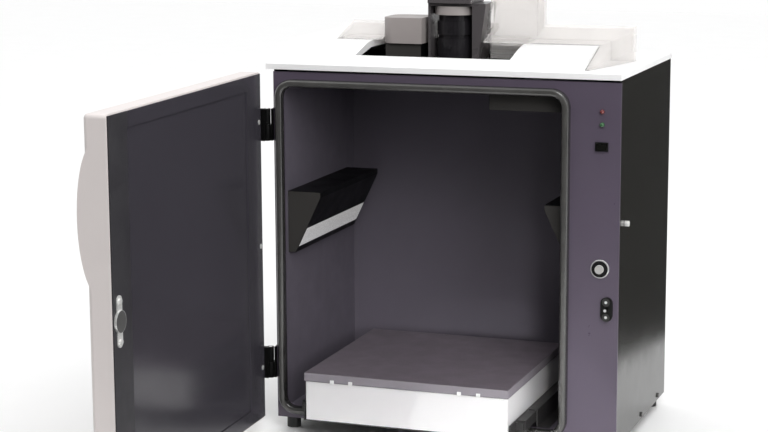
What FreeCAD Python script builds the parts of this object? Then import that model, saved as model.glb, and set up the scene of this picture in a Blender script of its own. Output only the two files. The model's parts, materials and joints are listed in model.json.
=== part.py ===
import FreeCAD
import Part
import Sketcher
import os
import re

doc = FreeCAD.newDocument("gel_imaging_cabinet")
dim = doc.addObject("Spreadsheet::Sheet", "dim")

# Driving dimensions in millimetres, and degrees for the two angles
DRIVING = {
    # cabinet
    "strip_width": 52.5,
    "rear_gap": 28,
    "attic": 14,
    "foot_height": 16,
    "foot_radius": 9,
    "foot_inset": 16,
    "sheet": 2,
    "fascia_thick": 3,
    "fascia_drop": 3,
    "pan_flange": 14,
    "screw_radius": 1.5,
    "screw_head": 3.2,
    "screw_rise": 1.8,
    "side_screw_front": 30,
    "side_screw_back": 41,
    "fit": 0.05,
    # dark chamber and its door opening
    "chamber_left": 12,
    "chamber_spare": 2,
    "chamber_floor": 14,
    "chamber_height": 426,
    "opening_lap": 2,
    "opening_reveal": 19.5,
    "opening_sill": 2.5,
    "opening_head": 8,
    "opening_round": 13,
    "seal_width": 10,
    "seal_depth": 10,
    "seal_round": 4.5,
    # door
    "door_open": 88,
    "door_short": 8,
    "door_trim": 4,
    "door_lift": 1,
    "door_thick": 29,
    "door_gap": 10.6,
    "door_wall": 3,
    "door_round": 5,
    "door_sheet": 1.5,
    "panel_inset": 2,
    "panel_border": 18,
    "panel_side": 46,
    "panel_step": 1.5,
    "door_screw_low": 69,
    "door_screw_high": 388,
    "door_screw_inset": 6,
    "flat_head": 0.5,
    "grip_height": 337,
    "grip_half": 68,
    "grip_rise": 10,
    "grip_reach": 34,
    "grip_sink": 14,
    # hinges
    "hinge_out": 7,
    "hinge_radius": 4.5,
    "hinge_pin": 2,
    "hinge_length": 41,
    "hinge_low": 53,
    "hinge_high": 363,
    "leaf_thick": 3,
    "leaf_width": 25,
    # control strip
    "strip_inset": 23,
    "led_radius": 3,
    "led_red": 415.6,
    "led_green": 400,
    "switch_z": 373.5,
    "switch_width": 16,
    "switch_height": 11,
    "rocker_tilt": 7,
    "rocker_pin": 1.2,
    "catch_z": 224,
    "catch_radius": 10,
    "catch_plunger": 5.3,
    "catch_reach": 6.8,
    "strike_radius": 12.5,
    "strike_thick": 3,
    "strike_pitch": 45,
    "lock_inset": 14,
    "lock_z": 174.5,
    "lock_width": 15,
    "lock_height": 30,
    "lock_plunger": 2.5,
    "lock_head": 5,
    "peg_y": 30.5,
    "peg_z": 276,
    "peg_radius": 2,
    "peg_head": 3.5,
    # side lamps
    "lamp_y": 14,
    "lamp_length": 212,
    "lamp_bottom": 216,
    "lamp_height": 80,
    "lamp_reach": 45,
    "lamp_nose": 7,
    "lamp_foot": 10,
    "lamp_sheet": 2,
    "window_low": 8,
    "window_high": 32,
    "window_thick": 3,
    "lamp_tube": 8,
    "light_box_width": 110,
    "light_box_depth": 58,
    "light_box_height": 29,
    # drawer and transilluminator
    "box_gap_left": 55,
    "box_gap_right": 66.5,
    "box_width": 264,
    "box_depth": 250,
    "box_out": 68,
    "box_bottom": 20,
    "box_top": 78,
    "box_wall": 3,
    "tray_sheet": 2,
    "lid_sheet": 3,
    "lid_skirt": 11,
    "lid_over": 1.5,
    "glass_thick": 4,
    "ledge_thick": 6,
    "ledge_width": 22,
    "uv_tube": 7.5,
    "clip_size": 5,
    "clip_inset": 36.5,
    "clip_pitch": 24.5,
    "rail_length": 226,
    "rail_setback": 22,
    "rail_sheet": 1.5,
    "rail_height": 16,
    "rail_depth": 11,
    "rail_foot": 14,
    "rail_gap": 0.1,
    # top cover, camera and hood
    "cover_over": 9,
    "cover_end": 0.5,
    "cover_front": 3,
    "cover_lip": 7,
    "cover_wall": 3,
    "cover_rest": 4.5,
    "hump_short": 53,
    "hump_rise": 24,
    "hump_nose": 91,
    "hump_round": 150,
    "well_reach": 102,
    "well_width": 203,
    "well_front": 35,
    "well_depth": 125,
    "well_rim": 3,
    "lens_shift": -4.75,
    "lens_y": 135,
    "lens_radius": 20,
    "lens_ring": 24.5,
    "lens_length": 68,
    "lens_lift": 6,
    "mount_height": 11,
    "bracket_depth": 46,
    "hood_wall": 3,
    "hood_left": 48,
    "hood_short": 20,
    "hood_front": 100,
    "hood_back": 164,
    "hood_edge": 0.5,
    "hood_rise": 20,
    "hip_front": 30,
    "hip_lip": 5,
    "access_left": 92,
    "column_left": 49,
    "column_width": 63,
    "column_depth": 39,
    "column_rise": 121,
    "apron_drop": 22,
    # rear and electronics
    "inlet_width": 48,
    "inlet_height": 30,
    "supply_width": 38,
    "supply_depth": 150,
    "supply_height": 88,
}
for row, (alias, value) in enumerate(DRIVING.items(), start=1):
    dim.set(f"A{row}", alias)
    dim.set(f"B{row}", str(value))
    dim.setAlias(f"B{row}", alias)
doc.recompute()

# Sizes that follow from the driving ones: the transilluminator sets the chamber, which sets the cabinet
CHAMBER_W = "(box_gap_left + box_width + box_gap_right)"
CHAMBER_D = "(box_depth + chamber_spare)"
CAB_W = f"(chamber_left + {CHAMBER_W} + strip_width)"
CAB_D = f"({CHAMBER_D} + rear_gap)"
CAB_H = "(chamber_floor + chamber_height + attic)"
OPENING_W = f"({CHAMBER_W} - opening_lap - opening_reveal)"
OPENING_H = "(chamber_height - opening_sill - opening_head)"
DOOR_W = f"({CAB_W} - door_short)"
DOOR_H = f"({CAB_H} - door_trim)"

# Datum planes: the origin is the middle of the four feet on the bench, and the door faces -Y
LEFT = f"(-{CAB_W} / 2)"
RIGHT = f"({CAB_W} / 2)"
FRONT = f"(-{CAB_D} / 2)"
BACK = f"({CAB_D} / 2)"
BASE = "foot_height"
TOP = f"(foot_height + {CAB_H})"
IN_LEFT = f"({LEFT} + chamber_left)"
IN_RIGHT = f"({IN_LEFT} + {CHAMBER_W})"
IN_FRONT = f"({FRONT} + fascia_thick)"
IN_BACK = f"({FRONT} + {CHAMBER_D})"
FLOOR = "(foot_height + chamber_floor)"
CEILING = f"({FLOOR} + chamber_height)"
OPENING_X = f"({IN_LEFT} + opening_lap)"
OPENING_Z = f"({FLOOR} + opening_sill)"
DOOR_FACE = f"({FRONT} - door_gap)"
DOOR_RIM = f"({DOOR_FACE} - door_sheet)"
DOOR_OUT = f"({DOOR_FACE} - door_thick)"
HINGE_X = f"({LEFT} - hinge_out)"
HINGE_Y = f"({FRONT} - door_gap / 2)"
STRIP_X = f"({RIGHT} - strip_inset)"
LOCK_X = f"({RIGHT} - lock_inset)"
DECK = f"({TOP} + cover_lip)"
HUMP = f"({DECK} + hump_rise)"
HUMP_END = f"({RIGHT} - hump_short)"
LENS_X = f"({IN_LEFT} + {CHAMBER_W} / 2 + lens_shift)"
LENS_Y = f"({FRONT} + lens_y)"

nodes = []


def bind(obj, prop, expression):
    """Bind a property to an expression written with the sheet's aliases."""
    obj.setExpression(prop, re.sub(r"\b([a-z]\w*)\b(?!\()", r"dim.\1", expression))


def place(obj, x, y, z):
    bind(obj, "Placement.Base.x", x)
    bind(obj, "Placement.Base.y", y)
    bind(obj, "Placement.Base.z", z)
    return obj


def box(name, x, y, z, width, depth, height):
    obj = doc.addObject("Part::Box", name)
    bind(obj, "Length", width)
    bind(obj, "Width", depth)
    bind(obj, "Height", height)
    return place(obj, x, y, z)


TURNS = {
    "x": FreeCAD.Rotation(FreeCAD.Vector(0, 1, 0), 90),
    "y": FreeCAD.Rotation(FreeCAD.Vector(1, 0, 0), -90),
    "z": FreeCAD.Rotation(),
}


def rod(name, axis, x, y, z, radius, length):
    """A cylinder that starts at the given point and runs along a positive axis."""
    obj = doc.addObject("Part::Cylinder", name)
    bind(obj, "Radius", radius)
    bind(obj, "Height", length)
    obj.Placement.Rotation = TURNS[axis]
    return place(obj, x, y, z)


def fuse(name, *pieces):
    obj = doc.addObject("Part::MultiFuse", name)
    obj.Shapes = list(pieces)
    return obj


def cut(name, base, *tools):
    obj = doc.addObject("Part::Cut", name)
    obj.Base = base
    obj.Tool = tools[0] if len(tools) == 1 else fuse(f"{name}_tools", *tools)
    return obj


def group(name, *pieces):
    obj = doc.addObject("Part::Compound", name)
    obj.Links = list(pieces)
    return obj


def node(name, obj):
    """Record a finished piece under the name that its file carries."""
    obj.Label = name
    nodes.append(obj)
    return obj


def sketch_in(body, role):
    plane = next(item for item in body.Origin.OriginFeatures if item.Role == role)
    sketch = body.newObject("Sketcher::SketchObject", f"{body.Name}_sketch")
    sketch.AttachmentSupport = [(plane, "")]
    sketch.MapMode = "FlatFace"
    return sketch


def polygon(sketch, points):
    """Draw a closed outline whose corners are pinned to the sketch origin by expressions."""
    count = len(points)
    corners = [FreeCAD.Rotation(FreeCAD.Vector(0, 0, 1), 360 * i / count).multVec(FreeCAD.Vector(50, 0, 0))
               for i in range(count)]
    first = sketch.GeometryCount
    for i in range(count):
        sketch.addGeometry(Part.LineSegment(corners[i], corners[(i + 1) % count]))
    for i in range(count):
        sketch.addConstraint(Sketcher.Constraint("Coincident", first + i, 2, first + (i + 1) % count, 1))
    for i, (across, up) in enumerate(points):
        for kind, axis, expression in (("DistanceX", -2, across), ("DistanceY", -1, up)):
            if expression == "0":
                sketch.addConstraint(Sketcher.Constraint("PointOnObject", first + i, 1, axis))
            else:
                index = sketch.addConstraint(Sketcher.Constraint(kind, -1, 1, first + i, 1, 10.0))
                bind(sketch, f"Constraints[{index}]", expression)
    doc.recompute()


def rectangle(width, height, inset="0"):
    low = inset
    far_x = width if inset == "0" else f"{width} - {inset}"
    far_y = height if inset == "0" else f"{height} - {inset}"
    return [(low, low), (far_x, low), (far_x, far_y), (low, far_y)]


def new_body(name, x, y, z):
    body = doc.addObject("PartDesign::Body", name)
    return place(body, x, y, z)


def pad(body, role, points, length):
    sketch = sketch_in(body, role)
    polygon(sketch, points)
    feature = body.newObject("PartDesign::Pad", f"{body.Name}_pad")
    feature.Profile = sketch
    bind(feature, "Length", length)
    doc.recompute()
    return feature


def pocket(body, role, points, length, reverse):
    sketch = sketch_in(body, role)
    polygon(sketch, points)
    feature = body.newObject("PartDesign::Pocket", f"{body.Name}_pocket")
    feature.Profile = sketch
    feature.Reversed = reverse
    bind(feature, "Length", length)
    doc.recompute()
    return feature


def round_edges(body, radius, chosen):
    """Round the edges of the body's tip that the test picks out."""
    tip = body.Tip
    names = [f"Edge{i}" for i, edge in enumerate(tip.Shape.Edges, start=1) if chosen(edge)]
    feature = body.newObject("PartDesign::Fillet", f"{body.Name}_round")
    feature.Base = (tip, names)
    bind(feature, "Radius", radius)
    doc.recompute()
    return feature


def runs_along(axis):
    """A test for straight edges that run along one axis, from 0 for X to 2 for Z."""
    def test(edge):
        span = edge.BoundBox
        sizes = [span.XLength, span.YLength, span.ZLength]
        return sizes[axis] > 0.01 and sum(sizes) - sizes[axis] < 0.01
    return test


def lies_at(axis, level):
    """A test for edges that lie in one plane across an axis."""
    def test(edge):
        span = edge.BoundBox
        low = [span.XMin, span.YMin, span.ZMin][axis]
        high = [span.XMax, span.YMax, span.ZMax][axis]
        return abs(low - level) < 0.01 and abs(high - level) < 0.01
    return test


def slab(name, x, y, z, width, height, depth, radius):
    """An upright plate with rounded corners: its back is at y and it grows towards -Y."""
    body = new_body(name, x, y, z)
    pad(body, "XZ_Plane", rectangle(width, height), depth)
    round_edges(body, radius, runs_along(1))
    return body


def screw(name, axis, x, y, z, head_first, length="2 * sheet", rise="screw_rise", head_radius="screw_head"):
    """A screw along an axis; the head lies below the start point if head_first, else above it."""
    at = {"x": x, "y": y, "z": z}
    head = dict(at)
    shank = dict(at)
    if head_first:
        head[axis] = f"{at[axis]} - {rise}"
    else:
        shank[axis] = f"{at[axis]} - ({length})"
    return fuse(
        name,
        rod(f"{name}_head", axis, head["x"], head["y"], head["z"], head_radius, rise),
        rod(f"{name}_shank", axis, shank["x"], shank["y"], shank["z"], "screw_radius", length),
    )


# Cabinet: base pan, panels, feet and the screws along the bottom of each side
SIDES = {"left": (LEFT, 1), "right": (RIGHT, -1)}
SCREW_Y = [f"{FRONT} + side_screw_front", "0", f"{BACK} - side_screw_back"]
SCREW_Z = f"({BASE} + 6)"


def side_x(side, inward, width="0"):
    """The low x of a piece of some width that lies inward of a side face."""
    face, sign = SIDES[side]
    return f"{face} + {inward}" if sign > 0 else f"{face} - ({inward}) - ({width})"


def screw_holes(name, side):
    x = side_x(side, "-1", "2 * sheet + 2")
    return [rod(f"{name}_hole{i}", "x", x, y, SCREW_Z, "screw_radius + fit", "2 * sheet + 2")
            for i, y in enumerate(SCREW_Y)]


def cabinet():
    depth = f"{CAB_D} - fascia_thick - sheet"
    width = f"{CAB_W} - 2 * sheet"
    pan = [box("pan_plate", f"{LEFT} + sheet", IN_FRONT, BASE, width, depth, "sheet")]
    for side in SIDES:
        pan.append(box(f"pan_{side}", side_x(side, "sheet", "sheet"), IN_FRONT, BASE,
                       "sheet", depth, "pan_flange"))
    holes = screw_holes("pan_left", "left") + screw_holes("pan_right", "right")
    node("base_pan", cut("pan", fuse("pan_blank", *pan), *holes))

    for side in SIDES:
        panel = box(f"{side}_blank", side_x(side, "0", "sheet"), IN_FRONT, BASE,
                    "sheet", f"{CAB_D} - fascia_thick", CAB_H)
        openings = screw_holes(f"{side}_panel", side)
        if side == "right":
            hole = rod("peg_hole", "x", f"{RIGHT} - sheet - 1", f"{FRONT} + peg_y", f"{BASE} + peg_z",
                       "peg_radius + fit", "sheet + 2")
            openings.append(hole)
        node(f"{side}_side_panel", cut(f"{side}_panel", panel, *openings))

    back = box("back_blank", f"{LEFT} + sheet", f"{BACK} - sheet", BASE, width, "sheet", CAB_H)
    slots = [box(f"vent_{i}", f"{RIGHT} - 60", f"{BACK} - sheet - 1", f"{BASE} + {120 + 12 * i}",
                 "44", "sheet + 2", "4") for i in range(8)]
    inlet_hole = box("inlet_hole", f"{RIGHT} - 36 - inlet_width / 2 + 8", f"{BACK} - sheet - 1",
                     f"{BASE} + 60 - inlet_height / 2 + 3",
                     "inlet_width - 16", "sheet + 2", "inlet_height - 6")
    node("back_panel", cut("back", back, inlet_hole, *slots))

    feet = [rod(f"foot_{i}{j}", "z", f"{i} * ({RIGHT} - foot_inset)", f"{j} * ({BACK} - foot_inset)", "0",
                "foot_radius", "foot_height") for i in (-1, 1) for j in (-1, 1)]
    node("feet", group("foot_set", *feet))

    screws = [screw(f"{side}_screw{i}", "x", SIDES[side][0], y, SCREW_Z, SIDES[side][1] > 0)
              for side in SIDES for i, y in enumerate(SCREW_Y)]
    node("side_panel_screws", group("screw_set", *screws))

    peg_y = f"{FRONT} + peg_y"
    peg_z = f"{BASE} + peg_z"
    peg = fuse("peg", rod("peg_shank", "x", f"{RIGHT} - sheet", peg_y, peg_z, "peg_radius", "sheet + 1"),
               rod("peg_head", "x", RIGHT, peg_y, peg_z, "peg_head", "5"))
    node("side_peg", peg)


# Front fascia with the door opening and the holes of the control strip, and the seal round the opening
LOCK_SCREW_Z = [f"({BASE} + lock_z + {end} * lock_height * 0.31)" for end in (-1, 1)]


def fascia():
    plate = box("fascia_blank", LEFT, FRONT, BASE, CAB_W, "fascia_thick", f"{CAB_H} - fascia_drop")
    past = f"{FRONT} - 1"
    through = "fascia_thick + 2"
    opening = slab("opening_tool", OPENING_X, f"{IN_FRONT} + 1", OPENING_Z,
                   OPENING_W, OPENING_H, through, "opening_round")
    holes = [
        rod("led_red_hole", "y", STRIP_X, past, f"{BASE} + led_red", "led_radius + fit", through),
        rod("led_green_hole", "y", STRIP_X, past, f"{BASE} + led_green", "led_radius + fit", through),
        rod("catch_hole", "y", STRIP_X, past, f"{BASE} + catch_z", "catch_radius + fit", through),
        rod("lock_hole", "y", LOCK_X, past, f"{BASE} + lock_z", "lock_plunger + fit", through),
        box("switch_hole", f"{STRIP_X} - switch_width / 2 + 1", past,
            f"{BASE} + switch_z - switch_height / 2 + 1",
            "switch_width - 2", through, "switch_height - 2"),
    ]
    holes += [rod(f"lock_screw_hole{i}", "y", LOCK_X, past, z, "screw_radius + fit", through)
              for i, z in enumerate(LOCK_SCREW_Z)]
    node("front_fascia", cut("fascia", plate, opening, *holes))

    width = f"({OPENING_W} + 2 * seal_width)"
    height = f"({OPENING_H} + 2 * seal_width)"
    seal = new_body("seal", f"{OPENING_X} - seal_width", FRONT, f"{OPENING_Z} - seal_width")
    pad(seal, "XZ_Plane", rectangle(width, height), "seal_depth")
    round_edges(seal, "opening_round + seal_width", runs_along(1))
    pocket(seal, "XZ_Plane", rectangle(width, height, "seal_width"), "seal_depth", True)
    border = dim.get("seal_width")
    along = runs_along(1)
    reach = seal.Tip.Shape.BoundBox
    round_edges(seal, "opening_round", lambda edge: along(edge)
                and border - 0.01 < edge.CenterOfMass.x - reach.XMin < reach.XLength - border + 0.01
                and border - 0.01 < edge.CenterOfMass.z - reach.ZMin < reach.ZLength - border + 0.01)
    round_edges(seal, "seal_round", lies_at(1, seal.Tip.Shape.BoundBox.YMin))
    node("door_seal", seal)


# Dark chamber: five sheet walls, a floor on two folded legs, and a small light box under the ceiling
def chamber():
    deep = f"{CHAMBER_D} - fascia_thick"
    low = f"{FLOOR} - sheet"
    tall = "chamber_height + 2 * sheet"
    node("chamber_left_wall", box("wall_left", f"{IN_LEFT} - sheet", IN_FRONT, low, "sheet", deep, tall))
    node("chamber_right_wall", box("wall_right", IN_RIGHT, IN_FRONT, low, "sheet", deep, tall))
    node("chamber_back_wall", box("wall_back", f"{IN_LEFT} - sheet", IN_BACK, low,
                                  f"{CHAMBER_W} + 2 * sheet", "sheet", tall))
    leg = "chamber_floor - 2 * sheet"
    floor = fuse(
        "floor",
        box("floor_plate", IN_LEFT, IN_FRONT, low, CHAMBER_W, deep, "sheet"),
        box("floor_leg_left", f"{IN_LEFT} + 10", IN_FRONT, f"{BASE} + sheet", "sheet", deep, leg),
        box("floor_leg_right", f"{IN_RIGHT} - 12", IN_FRONT, f"{BASE} + sheet", "sheet", deep, leg),
    )
    node("chamber_floor", floor)
    ceiling = cut(
        "ceiling",
        box("ceiling_plate", IN_LEFT, IN_FRONT, CEILING, CHAMBER_W, deep, "sheet"),
        rod("ceiling_port", "z", LENS_X, LENS_Y, f"{CEILING} - 1", "lens_ring", "sheet + 2"),
    )
    node("chamber_ceiling", ceiling)
    node("chamber_light_box", box("light_box", f"{IN_RIGHT} - light_box_width - 6", f"{FRONT} + 12",
                                  f"{CEILING} - light_box_height",
                                  "light_box_width", "light_box_depth", "light_box_height"))


# Side lamps: wedge housings with a window low on the slanted face, mirrored across the chamber
def lamp_outline(inset):
    """The wedge seen from the front, from the wall outwards, with all faces moved in by an inset."""
    return [
        (inset, inset),
        (f"lamp_foot - {inset}", inset),
        (f"lamp_reach - {inset}", f"lamp_height - lamp_nose - {inset} / 2"),
        (f"lamp_reach - {inset}", f"lamp_height - {inset}"),
        (inset, f"lamp_height - {inset}"),
    ]


def slant(level):
    """How far the slanted face stands off the wall at a level above the lamp's foot."""
    return f"(lamp_foot + ({level}) * (lamp_reach - lamp_foot) / (lamp_height - lamp_nose))"


def lamp(side):
    z = f"{BASE} + lamp_bottom"
    end = f"{FRONT} + lamp_y + lamp_length"
    hollow_end = f"{end} - lamp_sheet"
    outer = new_body(f"{side}_lamp_outer", IN_LEFT, end, z)
    pad(outer, "XZ_Plane", lamp_outline("0"), "lamp_length")
    hollow = new_body(f"{side}_lamp_hollow", IN_LEFT, hollow_end, z)
    pad(hollow, "XZ_Plane", lamp_outline("lamp_sheet"), "lamp_length - 2 * lamp_sheet")
    low = slant("window_low")
    high = slant("window_high")
    window = [(f"{low} - window_thick", "window_low"), (low, "window_low"),
              (high, "window_high"), (f"{high} - window_thick", "window_high")]
    pane = new_body(f"{side}_lamp_pane", IN_LEFT, hollow_end, z)
    pad(pane, "XZ_Plane", window, "lamp_length - 2 * lamp_sheet")
    shell = cut(f"{side}_lamp_shell", cut(f"{side}_lamp_case", outer, hollow), pane)
    tube = rod(f"{side}_lamp_bulb", "y", f"{IN_LEFT} + 14", f"{FRONT} + lamp_y + lamp_sheet",
               f"{z} + lamp_height - lamp_sheet - 14", "lamp_tube", "lamp_length - 2 * lamp_sheet")
    return [shell, pane, tube]


def mirrored(name, piece):
    obj = doc.addObject("Part::Mirroring", name)
    obj.Source = piece
    obj.Normal = FreeCAD.Vector(1, 0, 0)
    bind(obj, "Base.x", f"({IN_LEFT} + {IN_RIGHT}) / 2")
    return obj


def lamps():
    shell, pane, tube = lamp("left")
    node("left_lamp_housing", shell)
    node("right_lamp_housing", mirrored("right_lamp_shell", shell))
    node("lamp_diffusers", group("pane_pair", pane, mirrored("right_pane", pane)))
    node("lamp_tubes", group("tube_pair", tube, mirrored("right_tube", tube)))


# Controls on the strip to the right of the opening
def led(name, z):
    body = fuse(
        name,
        rod(f"{name}_flange", "y", STRIP_X, IN_FRONT, z, "led_radius + 1", "1"),
        rod(f"{name}_stem", "y", STRIP_X, f"{FRONT} - 1", z, "led_radius", "fascia_thick + 1"),
    )
    dome = doc.addObject("Part::Sphere", f"{name}_dome")
    bind(dome, "Radius", "led_radius")
    place(dome, STRIP_X, f"{FRONT} - 1", z)
    return fuse(f"{name}_lens", body, dome)


def controls():
    node("red_led", led("led_a", f"{BASE} + led_red"))
    node("green_led", led("led_b", f"{BASE} + led_green"))

    z = f"{BASE} + switch_z"
    frame = fuse(
        "switch_frame",
        box("switch_flange", f"{STRIP_X} - switch_width / 2", f"{FRONT} - 2", f"{z} - switch_height / 2",
            "switch_width", "2", "switch_height"),
        box("switch_body", f"{STRIP_X} - switch_width / 2 + 1", FRONT, f"{z} - switch_height / 2 + 1",
            "switch_width - 2", "16", "switch_height - 2"),
    )
    cavity = box("switch_cavity", f"{STRIP_X} - switch_width / 2 + 1.6", f"{FRONT} - 3",
                 f"{z} - switch_height / 2 + 1.6", "switch_width - 3.2", "10", "switch_height - 3.2")
    pivot = rod("switch_pivot", "z", STRIP_X, FRONT, f"{z} - switch_height / 2 + 1.1", "rocker_pin + fit",
                "switch_height - 2.2")
    node("switch_bezel", cut("switch", frame, cavity, pivot))
    rocker = fuse(
        "rocker",
        box("rocker_bar", "-(switch_width - 4.4) / 2", "-4.5", "-(switch_height - 4) / 2",
            "switch_width - 4.4", "8", "switch_height - 4"),
        rod("rocker_axle", "z", "0", "0", "-(switch_height - 2.4) / 2", "rocker_pin", "switch_height - 2.4"),
    )
    seat = group("rocker_seat", rocker)
    seat.Placement.Rotation = FreeCAD.Rotation(FreeCAD.Vector(0, 0, 1), dim.get("rocker_tilt"))
    node("switch_rocker", place(seat, STRIP_X, FRONT, z))

    z = f"{BASE} + catch_z"
    ring = cut("catch_ring", rod("ring_blank", "y", STRIP_X, f"{FRONT} - 3", z, "catch_radius + 1.5", "3"),
               rod("ring_bore", "y", STRIP_X, f"{FRONT} - 4", z, "catch_radius", "5"))
    node("catch_bezel", ring)
    barrel = cut("catch_barrel", rod("catch_blank", "y", STRIP_X, f"{FRONT} - 3.5", z, "catch_radius", "22"),
                 rod("catch_bore", "y", STRIP_X, f"{FRONT} - 5", z, "catch_plunger + fit", "20"))
    node("catch_body", barrel)
    node("catch_plunger", rod("plunger", "y", STRIP_X, f"{FRONT} - catch_reach", z, "catch_plunger", "18"))

    z = f"{BASE} + lock_z"
    plate = slab("lock_blank", f"{LOCK_X} - lock_width / 2", FRONT, f"{z} - lock_height / 2",
                 "lock_width", "lock_height", "3", "lock_width / 2 - 0.2")
    holes = [rod(f"lock_screw_bore{i}", "y", LOCK_X, f"{FRONT} - 4", tip, "screw_radius + fit", "5")
             for i, tip in enumerate(LOCK_SCREW_Z)]
    bore = rod("lock_bore", "y", LOCK_X, f"{FRONT} - 4", z, "lock_plunger + fit", "5")
    node("interlock_plate", cut("lock_plate", plate, bore, *holes))
    node("interlock_plunger", rod("lock_pin", "y", LOCK_X, f"{FRONT} - door_gap + 0.6", z,
                                  "lock_plunger", "door_gap + 8"))
    screws = [screw(f"lock_screw{i}", "y", LOCK_X, f"{FRONT} - 3", tip, True, "fascia_thick + 3",
                    "lock_head / 2", "lock_head") for i, tip in enumerate(LOCK_SCREW_Z)]
    node("interlock_screws", group("lock_screws", *screws))


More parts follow.
